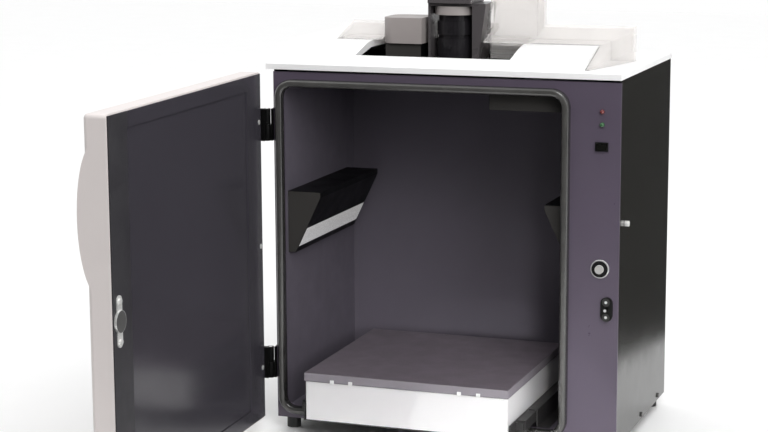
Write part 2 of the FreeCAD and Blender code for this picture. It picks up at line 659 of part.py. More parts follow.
# Door, drawn shut and then turned open about its hinge line
def door():
    swing = FreeCAD.Rotation(FreeCAD.Vector(0, 0, 1), -dim.get("door_open"))
    away = "(1 - cos(door_open))"

    def on_door(name, *pieces):
        leaf = group(f"{name}_leaf", *pieces)
        leaf.Placement.Rotation = swing
        place(leaf, f"{HINGE_X} * {away} - {HINGE_Y} * sin(door_open)",
              f"{HINGE_Y} * {away} + {HINGE_X} * sin(door_open)", "0")
        return node(name, leaf)

    low = f"({BASE} + door_lift)"
    shell = new_body("shell", LEFT, DOOR_RIM, low)
    pad(shell, "XZ_Plane", rectangle(DOOR_W, DOOR_H), "door_thick - door_sheet")
    round_edges(shell, "door_round", runs_along(1))
    round_edges(shell, "door_round", lies_at(1, shell.Tip.Shape.BoundBox.YMin))
    pocket(shell, "XZ_Plane", rectangle(DOOR_W, DOOR_H, "door_wall"),
           "door_thick - door_sheet - door_wall", True)
    grip = doc.addObject("Part::Ellipsoid", "grip_form")
    shown = "sqrt(1 - (grip_sink / (grip_sink + grip_rise)) ^ 2)"
    tall = f"(grip_half / {shown})"
    broad = f"(grip_reach / {shown})"
    bind(grip, "Radius1", tall)
    bind(grip, "Radius2", broad)
    bind(grip, "Radius3", "grip_sink + grip_rise")
    grip.Angle1 = -90
    place(grip, f"{LEFT} + {DOOR_W}", f"{DOOR_OUT} + grip_sink", f"{BASE} + grip_height")
    keep = box("grip_keep", f"{LEFT} + {DOOR_W} - {broad} - 1", f"{DOOR_OUT} - grip_rise - 1",
               f"{BASE} + grip_height - {tall} - 1",
               f"{broad} + 1", "grip_rise + 1.5 + door_round", f"2 * {tall} + 2")
    swell = doc.addObject("Part::Common", "grip")
    swell.Base = grip
    swell.Tool = keep
    on_door("door_shell", fuse("shell_with_grip", shell, swell))

    panel_x = f"({LEFT} + panel_inset)"
    panel_z = f"({low} + panel_inset)"
    width = f"({DOOR_W} - 2 * panel_inset)"
    height = f"({DOOR_H} - 2 * panel_inset)"
    rim_x = "(panel_side - door_sheet)"
    rim_z = "(panel_border - door_sheet)"
    pan = fuse(
        "panel_blank",
        box("panel_plate", panel_x, DOOR_RIM, panel_z, width, "door_sheet", height),
        box("panel_pan", f"{panel_x} + {rim_x}", f"{DOOR_RIM} - panel_step", f"{panel_z} + {rim_z}",
            f"{width} - 2 * {rim_x}", "door_sheet + panel_step", f"{height} - 2 * {rim_z}"),
    )
    field = box("panel_field", f"{panel_x} + panel_side", f"{DOOR_FACE} - panel_step",
                f"{panel_z} + panel_border",
                f"{width} - 2 * panel_side", "panel_step + 1", f"{height} - 2 * panel_border")
    strike_z = f"({BASE} + catch_z)"
    levels = ("door_screw_low", "(door_screw_low + door_screw_high) / 2", "door_screw_high")
    spots = [(f"{panel_x} + door_screw_inset", f"{BASE} + {level}") for level in levels]
    strike_spots = [(STRIP_X, f"{strike_z} + {i} * strike_pitch / 2") for i in (-1, 1)]
    holes = [rod(f"panel_hole{i}", "y", x, f"{DOOR_RIM} - 3", z, "screw_radius + fit", "door_sheet + 6")
             for i, (x, z) in enumerate(spots + strike_spots)]
    on_door("door_inner_panel", cut("panel", pan, field, *holes))

    plate = slab("strike_blank", f"{STRIP_X} - 6", f"{DOOR_FACE} + 1.5",
                 f"{strike_z} - strike_pitch / 2 - 6.5", "12", "strike_pitch + 13", "1.5", "5.8")
    disc = rod("strike_disc", "y", STRIP_X, DOOR_FACE, strike_z, "strike_radius", "strike_thick")
    strike_holes = [rod(f"strike_hole{i}", "y", x, f"{DOOR_FACE} - 1", z, "screw_radius + fit", "4")
                    for i, (x, z) in enumerate(strike_spots)]
    on_door("strike_plate", cut("strike", fuse("strike_form", plate, disc), *strike_holes))
    screws = [screw(f"door_screw{i}", "y", x, DOOR_FACE, z, False, "door_sheet + 2.5", "flat_head")
              for i, (x, z) in enumerate(spots)]
    screws += [screw(f"strike_screw{i}", "y", x, f"{DOOR_FACE} + 1.5", z, False, "door_sheet + 4")
               for i, (x, z) in enumerate(strike_spots)]
    on_door("door_screws", *screws)

    body_leaves = []
    door_leaves = []
    pins = []
    web = "(hinge_out - hinge_radius - 0.5)"
    for name, level in (("low", "hinge_low"), ("high", "hinge_high")):
        z = f"({BASE} + {level})"
        half = "(hinge_length / 2 - 0.2)"
        upper = f"({z} + hinge_length / 2 + 0.2)"
        bores = [rod(f"{name}_{leaf}_bore", "z", HINGE_X, HINGE_Y, f"{z} - 1",
                     "hinge_pin + fit", "hinge_length + 2") for leaf in ("body", "door")]
        body_leaf = fuse(
            f"{name}_body_blank",
            rod(f"{name}_body_knuckle", "z", HINGE_X, HINGE_Y, z, "hinge_radius", half),
            box(f"{name}_body_arm", HINGE_X, HINGE_Y, z,
                "hinge_out", "door_gap / 2 + fascia_thick + 3", half),
            box(f"{name}_body_web", f"{LEFT} - {web}", f"{HINGE_Y} + 0.5", z,
                web, "door_gap / 2 + fascia_thick + 2.5", "hinge_length"),
            box(f"{name}_body_plate", f"{LEFT} - leaf_thick", f"{IN_FRONT} + 1", z,
                "leaf_thick", "leaf_width", "hinge_length"),
        )
        body_leaves.append(cut(f"{name}_body_leaf", body_leaf, bores[0]))
        door_leaf = fuse(
            f"{name}_door_blank",
            rod(f"{name}_door_knuckle", "z", HINGE_X, HINGE_Y, upper, "hinge_radius", half),
            box(f"{name}_door_arm", HINGE_X, f"{DOOR_RIM} - 4", upper,
                "hinge_out", "door_gap / 2 + door_sheet + 4", half),
            box(f"{name}_door_web", f"{LEFT} - {web}", f"{DOOR_RIM} - 4", z,
                web, "door_gap / 2 + door_sheet + 3.5", "hinge_length"),
            box(f"{name}_door_plate", f"{LEFT} - leaf_thick", f"{DOOR_RIM} - leaf_width + 2", z,
                "leaf_thick", "leaf_width - 4", "hinge_length"),
        )
        door_leaves.append(cut(f"{name}_door_leaf", door_leaf, bores[1]))
        pins.append(rod(f"{name}_pin", "z", HINGE_X, HINGE_Y, z, "hinge_pin", "hinge_length"))
    node("hinge_body_leaves", group("body_leaf_pair", *body_leaves))
    node("hinge_pins", group("pin_pair", *pins))
    on_door("hinge_door_leaves", *door_leaves)


# Drawer: nested slide rails on each side of a tray that carries the transilluminator
BOX_X = f"({IN_LEFT} + box_gap_left)"
BOX_Y = f"({FRONT} - box_out)"
BOX_Z = f"({BASE} + box_bottom)"
RAIL_Z = f"({BOX_Z} + 2)"
FLANGE = "(tray_sheet + 2)"


def channel(name, side, offset, depth, y, z, height):
    """A C-section rail along Y: its web faces the chamber wall, its lips point at the tray."""
    def across(inward, width):
        gap = f"({FLANGE} + {offset} + {inward})"
        return f"{BOX_X} - {gap} - {width}" if side == "left" else f"{BOX_X} + box_width + {gap}"
    web_x = across(f"({depth} - rail_sheet)", "rail_sheet")
    lip_x = across("0", depth)
    web = box(f"{name}_web", web_x, y, z, "rail_sheet", "rail_length", height)
    foot = box(f"{name}_foot", lip_x, y, z, depth, "rail_length", "rail_sheet")
    head = box(f"{name}_head", lip_x, y, f"{z} + {height} - rail_sheet", depth, "rail_length", "rail_sheet")
    return [web, foot, head]


def drawer():
    step = "(rail_sheet + rail_gap)"
    outer_y = f"({FRONT} + 8)"
    middle_y = f"({BOX_Y} + rail_setback + 5)"
    inner_y = f"({BOX_Y} + rail_setback)"
    outers = []
    middles = []
    inners = []
    for side in SIDES:
        outer = channel(f"{side}_outer", side, "2", "rail_depth", outer_y, RAIL_Z, "rail_height")
        edge = f"({FLANGE} + 2 + rail_depth)"
        if side == "left":
            stand_x = f"{BOX_X} - {edge}"
            foot_x = f"{stand_x} - rail_foot"
        else:
            stand_x = f"{BOX_X} + box_width + {edge} - rail_sheet"
            foot_x = stand_x
        outer.append(box(f"{side}_stand", stand_x, outer_y, FLOOR,
                         "rail_sheet", "rail_length", f"{RAIL_Z} - {FLOOR} + 2"))
        outer.append(box(f"{side}_stand_foot", foot_x, outer_y, FLOOR,
                         "rail_foot + rail_sheet", "rail_length", "rail_sheet"))
        outers.append(fuse(f"{side}_outer_rail", *outer))
        middle = channel(f"{side}_middle", side, "1", f"(rail_depth + 1 - {step})", middle_y,
                         f"{RAIL_Z} + {step}", f"rail_height - 2 * {step}")
        middles.append(fuse(f"{side}_middle_rail", *middle))
        bar_width = f"(rail_depth + 2 - 2 * {step})"
        bar_x = f"{BOX_X} - {FLANGE} - {bar_width}" if side == "left" else f"{BOX_X} + box_width + {FLANGE}"
        inners.append(box(f"{side}_inner_rail", bar_x, inner_y, f"{RAIL_Z} + 2 * {step}",
                          bar_width, "rail_length", f"rail_height - 4 * {step}"))
    node("outer_rails", group("outer_pair", *outers))
    node("middle_rails", group("middle_pair", *middles))
    node("inner_rails", group("inner_pair", *inners))

    tray_y = f"({BOX_Y} + 2)"
    tray_depth = "(box_depth - 4)"
    tray_z = f"{BOX_Z} - tray_sheet"
    plate = box("tray_plate", f"{BOX_X} - {FLANGE}", tray_y, tray_z,
                f"box_width + 2 * {FLANGE}", tray_depth, "tray_sheet")
    wings = [box(f"tray_{side}", x, tray_y, tray_z, "tray_sheet", tray_depth, "rail_height + tray_sheet")
             for side, x in (("left", f"{BOX_X} - {FLANGE}"), ("right", f"{BOX_X} + box_width + 2"))]
    node("drawer_tray", fuse("tray", plate, *wings))

    height = "(box_top - box_bottom)"
    case = box("case_blank", BOX_X, BOX_Y, BOX_Z, "box_width", "box_depth", height)
    inside = box("case_inside", f"{BOX_X} + box_wall", f"{BOX_Y} + box_wall", f"{BOX_Z} + box_wall",
                 "box_width - 2 * box_wall", "box_depth - 2 * box_wall", f"{height} + 1")
    ledge_z = f"({BASE} + box_top - glass_thick - ledge_thick)"
    ledge = cut(
        "ledge",
        box("ledge_blank", f"{BOX_X} + 1", f"{BOX_Y} + 1", ledge_z,
            "box_width - 2", "box_depth - 2", "ledge_thick"),
        box("ledge_hole", f"{BOX_X} + ledge_width", f"{BOX_Y} + ledge_width", f"{ledge_z} - 1",
            "box_width - 2 * ledge_width", "box_depth - 2 * ledge_width", "ledge_thick + 2"),
    )
    node("transilluminator_housing", fuse("case", cut("case_shell", case, inside), ledge))
    pane = box("filter_pane", f"{BOX_X} + box_wall", f"{BOX_Y} + box_wall", f"{BASE} + box_top - glass_thick",
               "box_width - 2 * box_wall", "box_depth - 2 * box_wall", "glass_thick")
    node("uv_filter", pane)
    tubes = [rod(f"uv_tube{i}", "x", f"{BOX_X} + box_wall", f"{BOX_Y} + box_depth * {0.1 + 0.16 * i}",
                 f"{BOX_Z} + box_wall + 16", "uv_tube", "box_width - 2 * box_wall") for i in range(6)]
    node("uv_tubes", group("tube_set", *tubes))

    lid_x = f"({BOX_X} - lid_over)"
    lid_y = f"({BOX_Y} - lid_over)"
    lid_low = f"({BASE} + box_top + lid_sheet - lid_skirt)"
    lid = cut(
        "lid",
        box("lid_blank", lid_x, lid_y, lid_low,
            "box_width + 2 * lid_over", "box_depth + 2 * lid_over", "lid_skirt"),
        box("lid_inside", BOX_X, BOX_Y, f"{lid_low} - 1",
            "box_width", "box_depth", "lid_skirt - lid_sheet + 1"),
    )
    node("cover_plate", lid)
    near = [f"{BOX_X} + clip_inset + {step} * clip_pitch" for step in (0, 1)]
    far = [f"{BOX_X} + box_width - clip_inset - {step} * clip_pitch" for step in (0, 1)]
    clips = [box(f"clip_{i}", f"{x} - clip_size / 2", f"{lid_y} - 1.5", f"{lid_low} - 1",
                 "clip_size", "1.5", "clip_size") for i, x in enumerate(near + far)]
    node("lid_clips", group("clip_set", *clips))


# White top cover: a deck, a raised part with a long sloping nose, and the camera well
def nose_form(name, wall, low):
    """The raised part of the cover moved in by a wall, from a level above the cabinet's top upwards."""
    top = f"(cover_lip + hump_rise - {wall} - {low})"
    depth = f"({CAB_D} + 2 * cover_front - 2 * {wall})"
    body = new_body(name, f"{LEFT} - cover_over + {wall}", f"{FRONT} - cover_front + {wall}",
                    f"{TOP} + {low}")
    outline = [("0", "0"), (depth, "0"), (depth, top), (f"hump_nose + {wall}", top)]
    if wall == "0":
        outline.append(("0", "cover_lip"))
    pad(body, "YZ_Plane", outline, f"{HUMP_END} - {LEFT} + cover_over - 2 * {wall}")
    return body


def top_cover():
    deck = box("deck", f"{LEFT} - cover_over", f"{FRONT} - cover_front", TOP,
               f"{CAB_W} + cover_over + cover_end", f"{CAB_D} + 2 * cover_front", "cover_lip")
    outer = nose_form("nose_outer", "0", "0")
    along = runs_along(0)
    crest = lies_at(2, outer.Tip.Shape.BoundBox.ZMax)
    back = lies_at(1, outer.Tip.Shape.BoundBox.YMax)
    round_edges(outer, "hump_round", lambda edge: along(edge) and crest(edge) and not back(edge))
    hollow = nose_form("nose_hollow", "cover_wall", "cover_lip - cover_wall")
    under = box("deck_hollow", f"{LEFT} + cover_rest", f"{FRONT} + cover_rest", f"{TOP} - 1",
                f"{HUMP_END} - {LEFT} - 2 * cover_rest", f"{CAB_D} - 2 * cover_rest",
                "cover_lip + 1 - cover_wall")
    well_x = f"({LENS_X} - well_reach)"
    well_y = f"({FRONT} + well_front)"
    well = box("well_tool", well_x, well_y, f"{TOP} - 2",
               "well_width", "well_depth", "cover_lip + hump_rise + 4")
    node("top_cover", cut("cover", fuse("cover_blank", deck, outer), hollow, under, well))

    floor = f"({CEILING} + sheet)"
    tray_x = f"({well_x} - well_rim)"
    tray_y = f"({well_y} - well_rim)"
    width = "(well_width + 2 * well_rim)"
    depth = "(well_depth + 2 * well_rim)"
    tray = cut(
        "well_tray",
        box("well_blank", tray_x, tray_y, floor, width, depth, "attic"),
        box("well_hollow", f"{tray_x} + sheet", f"{tray_y} + sheet", f"{floor} + sheet",
            f"{width} - 2 * sheet", f"{depth} - 2 * sheet", "attic"),
        rod("well_port", "z", LENS_X, LENS_Y, f"{floor} - 1", "lens_ring", "sheet + 2"),
    )
    node("camera_well", tray)


# Camera: bracket over the lens, two turning rings, camera block and control box
def camera():
    floor = f"({CEILING} + 2 * sheet)"
    low = f"({floor} + lens_lift)"
    top = f"({low} + lens_length)"
    collar = "(lens_radius + 2.5)"
    barrel = fuse(
        "barrel",
        rod("barrel_core", "z", LENS_X, LENS_Y, low, "lens_radius", "lens_length"),
        rod("barrel_foot", "z", LENS_X, LENS_Y, low, collar, "14"),
        rod("barrel_waist", "z", LENS_X, LENS_Y, f"{low} + 38", collar, "4"),
        rod("barrel_head", "z", LENS_X, LENS_Y, f"{top} - 8", collar, "8"),
    )
    node("lens_barrel", barrel)
    for name, start, length in (("zoom_ring", "14.2", "23.6"), ("focus_ring", "42.2", "17.6")):
        z = f"({low} + {start})"
        ring = fuse(
            f"{name}_form",
            rod(f"{name}_band", "z", LENS_X, LENS_Y, z, "lens_ring", length),
            rod(f"{name}_screw", "y", LENS_X, f"{LENS_Y} - lens_ring - 5", f"{z} + {length} / 2", "1.6", "8"),
        )
        bore = rod(f"{name}_bore", "z", LENS_X, LENS_Y, f"{z} - 1", "lens_radius + fit", f"{length} + 2")
        node(name, cut(f"{name}_cut", ring, bore))
    node("camera_mount_ring", rod("mount_ring", "z", LENS_X, LENS_Y, top, "28", "mount_height"))

    bridge = f"({top} + mount_height)"
    tall = f"({bridge} - {floor})"
    bracket_y = f"{LENS_Y} - bracket_depth / 2"
    arm = new_body("bracket_arm", f"{LENS_X} + 28", f"{LENS_Y} + bracket_depth / 2", floor)
    pad(arm, "XZ_Plane", [("0", "0"), ("6", "0"), ("18", tall), ("0", tall)], "bracket_depth")
    bracket = fuse(
        "bracket",
        arm,
        box("bracket_strip", f"{LENS_X} - 31", bracket_y, floor, "3", "bracket_depth", tall),
        box("bracket_bridge", f"{LENS_X} - 31", bracket_y, bridge, "77", "bracket_depth", "4"),
    )
    node("camera_bracket", bracket)
    block = box("camera_block", f"{LENS_X} - 29", f"{LENS_Y} - 32", f"{bridge} + 4", "58", "58", "56")
    node("camera_body", block)
    control_x = f"({LENS_X} - access_left + 2)"
    control_y = f"({LENS_Y} - 35)"
    lift = f"({HUMP} - {floor} - 4)"
    control = new_body("control", control_x, control_y, f"{floor} + {lift}")
    pad(control, "XY_Plane", rectangle("54", "58"), f"70 - {lift}")
    left_end = control.Tip.Shape.BoundBox.XMin
    upright = runs_along(2)
    round_edges(control, "14", lambda edge: upright(edge) and abs(edge.CenterOfMass.x - left_end) < 0.01)
    node("camera_control_box", control)
    node("control_box_plinth", box("plinth", f"{control_x} + 4", f"{control_y} + 4", floor, "48", "50", lift))


# Translucent hood: a sloping front over the rear of the well, a hipped corner down to the deck, and a column
def corner_form(name, wall, drop):
    """The hood's right corner: splayed in plan, with its top falling to the deck at the front."""
    y = f"({FRONT} + hip_front)"
    z = f"({DECK} - {drop})"
    depth = f"(hood_back - hip_front - {wall})"
    reach = f"({RIGHT} - hood_short - {HUMP_END} - {wall})"
    rise = f"(hump_rise + hood_rise - {wall} + {drop})"
    plan = new_body(f"{name}_plan", HUMP_END, y, z)
    pad(plan, "XY_Plane", [("0", "0"), (f"hip_lip - {wall}", "0"), (reach, depth), ("0", depth)], rise)
    slope = new_body(f"{name}_slope", HUMP_END, y, z)
    outline = [("0", "0"), (depth, "0"), (depth, rise), ("0", f"hood_edge - {wall} + {drop}")]
    pad(slope, "YZ_Plane", outline, reach)
    corner = doc.addObject("Part::Common", name)
    corner.Base = plan
    corner.Tool = slope
    return corner


def hood_form(name, wall, drop):
    """The hood's outside, or its inside when moved in by a wall and dropped past the open bottom."""
    low = f"({HUMP} - {drop})"
    whole = "(hood_back - hood_front)"
    depth = f"({whole} - {wall})"
    high = f"(hood_edge + (hood_rise - hood_edge) * {depth} / {whole} - {wall} + {drop})"
    wide = new_body(f"{name}_wide", f"{LEFT} + hood_left + {wall}", f"{FRONT} + hood_front", low)
    outline = [("0", "0"), (depth, "0"), (depth, high), ("0", f"hood_edge - {wall} + {drop}")]
    pad(wide, "YZ_Plane", outline, f"{HUMP_END} - {LEFT} - hood_left + hip_lip - {wall}")
    column = box(f"{name}_column", f"{LENS_X} + column_left + {wall}",
                 f"{FRONT} + hood_back - column_depth + {wall}", low,
                 f"column_width - 2 * {wall}", f"column_depth - 2 * {wall}", f"column_rise - {wall} + {drop}")
    return [wide, column, corner_form(f"{name}_corner", wall, drop)]


def hood():
    outside = fuse("hood_outside", *hood_form("hood_out", "0", "0"))
    inside = hood_form("hood_in", "hood_wall", "(hood_wall + 1)")
    access = box("hood_access", f"{LENS_X} - access_left", f"{FRONT} + hood_front - 1", f"{HUMP} - 1",
                 "access_left + column_left - hood_wall", "hood_back - hood_front - hood_wall + 1",
                 "hood_rise + 2")
    slope = "(hood_rise - hood_edge) / (hood_back - hood_front)"
    roof = f"(hood_edge + (hood_back - column_depth - hood_front) * {slope})"
    apron = box("hood_apron", f"{LENS_X} + column_left", f"{FRONT} + hood_back - column_depth",
                f"{HUMP} - apron_drop", "well_width - well_reach - column_left - 1", "hood_wall",
                f"apron_drop + {roof} - 1")
    node("camera_hood", fuse("hood_with_apron", cut("hood_shell", outside, access, *inside), apron))


# Rear inlet without its cord, and the supply in the bay beside the chamber
def electrics():
    x = f"({RIGHT} - 36)"
    z = f"({BASE} + 60)"
    inlet = cut(
        "inlet",
        fuse("inlet_blank",
             box("inlet_flange", f"{x} - inlet_width / 2", BACK, f"{z} - inlet_height / 2",
                 "inlet_width", "3", "inlet_height"),
             box("inlet_case", f"{x} - inlet_width / 2 + 8", f"{BACK} - 22", f"{z} - inlet_height / 2 + 3",
                 "inlet_width - 16", "23", "inlet_height - 6")),
        box("inlet_socket", f"{x} - inlet_width / 2 + 11", f"{BACK} - 14", f"{z} - inlet_height / 2 + 6",
            "inlet_width - 22", "18", "inlet_height - 12"),
    )
    pins = [box(f"inlet_pin{i}", f"{x} + {7 * i} - 1", f"{BACK} - 15", f"{z} - 2", "2", "12", "4")
            for i in (-1, 0, 1)]
    node("power_inlet", fuse("inlet_with_pins", inlet, *pins))
    supply = box("supply", f"{IN_RIGHT} + sheet + 6", f"{BACK} - sheet - 30 - supply_depth",
                 f"{BASE} + sheet", "supply_width", "supply_depth", "supply_height")
    node("power_supply", supply)


cabinet()
fascia()
chamber()
lamps()
controls()
door()
drawer()
top_cover()
camera()
hood()
electrics()
doc.recompute()

os.makedirs("parts", exist_ok=True)
for obj in nodes:
    if "Invalid" in obj.State or "Error" in obj.State or obj.Shape.isNull() or not obj.Shape.isValid():
        raise RuntimeError(f"{obj.Label} did not build: {obj.State}")
    obj.Shape.exportStep(f"parts/{obj.Label}.step")
print(len(nodes), "pieces written")
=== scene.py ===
import json
import math

import bpy
from mathutils import Matrix, Vector


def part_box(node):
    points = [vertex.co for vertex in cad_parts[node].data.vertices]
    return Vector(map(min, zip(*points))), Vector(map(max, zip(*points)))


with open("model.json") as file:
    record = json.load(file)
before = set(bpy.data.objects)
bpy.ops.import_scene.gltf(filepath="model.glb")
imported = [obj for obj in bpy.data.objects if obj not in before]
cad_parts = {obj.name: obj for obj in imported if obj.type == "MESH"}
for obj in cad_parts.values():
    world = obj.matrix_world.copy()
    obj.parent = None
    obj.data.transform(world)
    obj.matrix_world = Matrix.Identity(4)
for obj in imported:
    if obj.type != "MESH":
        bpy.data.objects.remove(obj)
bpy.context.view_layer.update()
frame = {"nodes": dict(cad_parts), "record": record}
nodes = frame["nodes"]

MM = 0.001


# Node helpers

def new_material(name):
    material = bpy.data.materials.new(name)
    material.use_nodes = True
    tree = material.node_tree
    shader = tree.nodes["Principled BSDF"]
    return material, tree, shader


def add(tree, kind, **values):
    """Add a shader node and set its properties, or its inputs where the name starts with in_."""
    item = tree.nodes.new(kind)
    for key, value in values.items():
        if key.startswith("in_"):
            item.inputs[key[3:].replace("_", " ").title()].default_value = value
        else:
            setattr(item, key, value)
    return item


def place_coords(tree, stretch=(1, 1, 1)):
    """Coordinates in the object's own frame, in metres, stretched along the axes."""
    coords = add(tree, "ShaderNodeTexCoord")
    mapping = add(tree, "ShaderNodeMapping")
    mapping.inputs["Scale"].default_value = stretch
    tree.links.new(coords.outputs["Object"], mapping.inputs["Vector"])
    return mapping.outputs["Vector"]


def noise(tree, vector, scale, detail=3.0, rough=0.55):
    item = add(tree, "ShaderNodeTexNoise", in_scale=scale, in_detail=detail, in_roughness=rough)
    tree.links.new(vector, item.inputs["Vector"])
    return item.outputs["Fac"]


def remap(tree, value, low, high, from_low=0.3, from_high=0.7):
    item = add(tree, "ShaderNodeMapRange")
    item.inputs["From Min"].default_value = from_low
    item.inputs["From Max"].default_value = from_high
    item.inputs["To Min"].default_value = low
    item.inputs["To Max"].default_value = high
    tree.links.new(value, item.inputs["Value"])
    return item.outputs["Result"]


def mix_colour(tree, factor, first, second):
    """Mix two colours; either may be a fixed colour or a socket."""
    item = add(tree, "ShaderNodeMix", data_type="RGBA")
    tree.links.new(factor, item.inputs["Factor"])
    for name, value in (("A", first), ("B", second)):
        socket = next(s for s in item.inputs if s.name == name and s.type == "RGBA")
        if isinstance(value, bpy.types.NodeSocket):
            tree.links.new(value, socket)
        else:
            socket.default_value = (*value, 1)
    return next(s for s in item.outputs if s.type == "RGBA")


def add_bump(tree, shader, height, strength, distance):
    item = add(tree, "ShaderNodeBump", in_strength=strength, in_distance=distance)
    tree.links.new(height, item.inputs["Height"])
    tree.links.new(item.outputs["Normal"], shader.inputs["Normal"])


def shade(colour, factor):
    return tuple(min(1.0, channel * factor) for channel in colour)


def uneven(tree, factor, colour, low, high):
    """A colour that drifts between a darker and a lighter share of itself."""
    return mix_colour(tree, factor, shade(colour, low), shade(colour, high))


def vary_roughness(tree, shader, pattern, rough, low=0.85, high=1.15):
    tree.links.new(remap(tree, pattern, rough * low, rough * high), shader.inputs["Roughness"])


def facing(tree, axis):
    """How far a face looks along one axis of the part's frame, from -1 to 1."""
    geometry = add(tree, "ShaderNodeNewGeometry")
    split = add(tree, "ShaderNodeSeparateXYZ")
    tree.links.new(geometry.outputs["Normal"], split.inputs["Vector"])
    return split.outputs[axis]


def edge_wear(tree, base, wear_and_glint, radius=0.0009):
    """Lighten a narrow band along the edges, as handled paint and plastic are."""
    geometry = add(tree, "ShaderNodeNewGeometry")
    rounded = add(tree, "ShaderNodeBevel", samples=4, in_radius=radius)
    turned = add(tree, "ShaderNodeVectorMath", operation="DOT_PRODUCT")
    tree.links.new(geometry.outputs["Normal"], turned.inputs[0])
    tree.links.new(rounded.outputs["Normal"], turned.inputs[1])
    sharp = remap(tree, turned.outputs["Value"], 0.8, 0.0, 0.80, 0.98)
    return mix_colour(tree, sharp, base, wear_and_glint)


def near_points(tree, vector, centres, inner, outer):
    """One within the inner distance of any centre, falling to nought at the outer distance."""
    nearest = None
    for centre in centres:
        reach = add(tree, "ShaderNodeVectorMath", operation="DISTANCE")
        reach.inputs[1].default_value = centre
        tree.links.new(vector, reach.inputs[0])
        if nearest is None:
            nearest = reach.outputs["Value"]
            continue
        lesser = add(tree, "ShaderNodeMath", operation="MINIMUM")
        tree.links.new(nearest, lesser.inputs[0])
        tree.links.new(reach.outputs["Value"], lesser.inputs[1])
        nearest = lesser.outputs["Value"]
    return remap(tree, nearest, 1, 0, inner, outer)


# Surface families

def coated(name, colour, rough, grain=900, bump=0.08, spread=0.08, wear=1.35, gloss=0.5):
    """Painted metal or moulded plastic: orange-peel, soft changes of tone and gloss, light edges."""
    material, tree, shader = new_material(name)
    vector = place_coords(tree)
    cloud = noise(tree, vector, 9, 4)
    tone = uneven(tree, remap(tree, cloud, 0, 1), colour, 1 - spread, 1 + spread)
    tree.links.new(edge_wear(tree, tone, shade(colour, wear)), shader.inputs["Base Color"])
    vary_roughness(tree, shader, noise(tree, vector, 30, 5), rough)
    shader.inputs["Specular IOR Level"].default_value = gloss
    add_bump(tree, shader, noise(tree, vector, grain, 2), bump, 0.0002)
    return material


def edged_panel(name, colour, rough, width):
    """The door's inner sheet: a polished field, and a duller, darker border along its free edge."""
    material, tree, shader = new_material(name)
    vector = place_coords(tree)
    split = add(tree, "ShaderNodeSeparateXYZ")
    tree.links.new(vector, split.inputs["Vector"])
    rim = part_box("door_inner_panel")[0][1] + width
    soft = 0.5 * MM
    field = remap(tree, split.outputs["Y"], 0, 1, rim - soft, rim + soft)
    cloud = remap(tree, noise(tree, vector, 9, 4), 0, 1)
    sheet = uneven(tree, cloud, colour, 0.96, 1.04)
    border = uneven(tree, cloud, colour, 0.40, 0.46)
    tree.links.new(mix_colour(tree, field, border, sheet), shader.inputs["Base Color"])
    smear = remap(tree, noise(tree, vector, 30, 5), 0.85, 1.15)
    gloss = add(tree, "ShaderNodeMath", operation="MULTIPLY")
    border_rough = rough * 2.6
    across = remap(tree, split.outputs["Y"], border_rough, rough, rim - soft, rim + soft)
    tree.links.new(across, gloss.inputs[0])
    tree.links.new(smear, gloss.inputs[1])
    tree.links.new(gloss.outputs["Value"], shader.inputs["Roughness"])
    add_bump(tree, shader, noise(tree, vector, 500, 2), 0.006, 0.0002)
    return material


def black_with_painted_reflection(name, colour, reflected_grey, rough):
    """Black housings: satin paint, with a painted reflection, a greyer tone, on the end plates and the
    other faces that look forward.
    """
    material, tree, shader = new_material(name)
    vector = place_coords(tree)
    # Faces that look forward get a painted reflection: the greyer tone mixed in below.
    forward = remap(tree, facing(tree, "Y"), 1, 0, -0.97, -0.90)
    cloud = remap(tree, noise(tree, vector, 9, 4), 0, 1)
    satin = uneven(tree, cloud, colour, 0.92, 1.08)
    plate = uneven(tree, cloud, reflected_grey, 0.92, 1.08)
    tree.links.new(mix_colour(tree, forward, satin, plate), shader.inputs["Base Color"])
    vary_roughness(tree, shader, noise(tree, vector, 30, 5), rough)
    shader.inputs["Specular IOR Level"].default_value = 0.12
    add_bump(tree, shader, noise(tree, vector, 1400, 2), 0.08, 0.0002)
    return material


def black_with_painted_glints(name, colour, glint_colour, rough, centres, radius):
    """Gloss black fittings, with a painted highlight at the middle of each head."""
    material, tree, shader = new_material(name)
    vector = place_coords(tree)
    # Mask of the painted highlights at the middle of each head.
    wear_and_glint = near_points(tree, vector, centres, radius * 0.7, radius * 1.2)
    cloud = remap(tree, noise(tree, vector, 200, 4), 0, 1)
    black = uneven(tree, cloud, colour, 0.9, 1.1)
    bright = uneven(tree, cloud, glint_colour, 0.9, 1.1)
    tree.links.new(mix_colour(tree, wear_and_glint, black, bright), shader.inputs["Base Color"])
    vary_roughness(tree, shader, noise(tree, vector, 60, 5), rough)
    add_bump(tree, shader, noise(tree, vector, 2200, 2), 0.005, 0.0002)
    return material


def lit_and_shaded_moulding(name, top, side, rough):
    """A moulding whose upward faces are painted darker than its skirt: painted shade on the top and painted
    light on the skirt, set by which way each face looks.
    """
    material, tree, shader = new_material(name)
    vector = place_coords(tree)
    # Painted light and shade: the tone follows how far each face looks up.
    upward = remap(tree, facing(tree, "Z"), 0, 1, 0.5, 0.8)
    cloud = remap(tree, noise(tree, vector, 9, 4), 0, 1)
    shaded_top = uneven(tree, cloud, top, 0.95, 1.05)
    skirt = uneven(tree, cloud, side, 0.95, 1.05)
    tree.links.new(mix_colour(tree, upward, skirt, shaded_top), shader.inputs["Base Color"])
    vary_roughness(tree, shader, noise(tree, vector, 30, 5), rough)
    add_bump(tree, shader, noise(tree, vector, 1500, 2), 0.08, 0.0002)
    return material


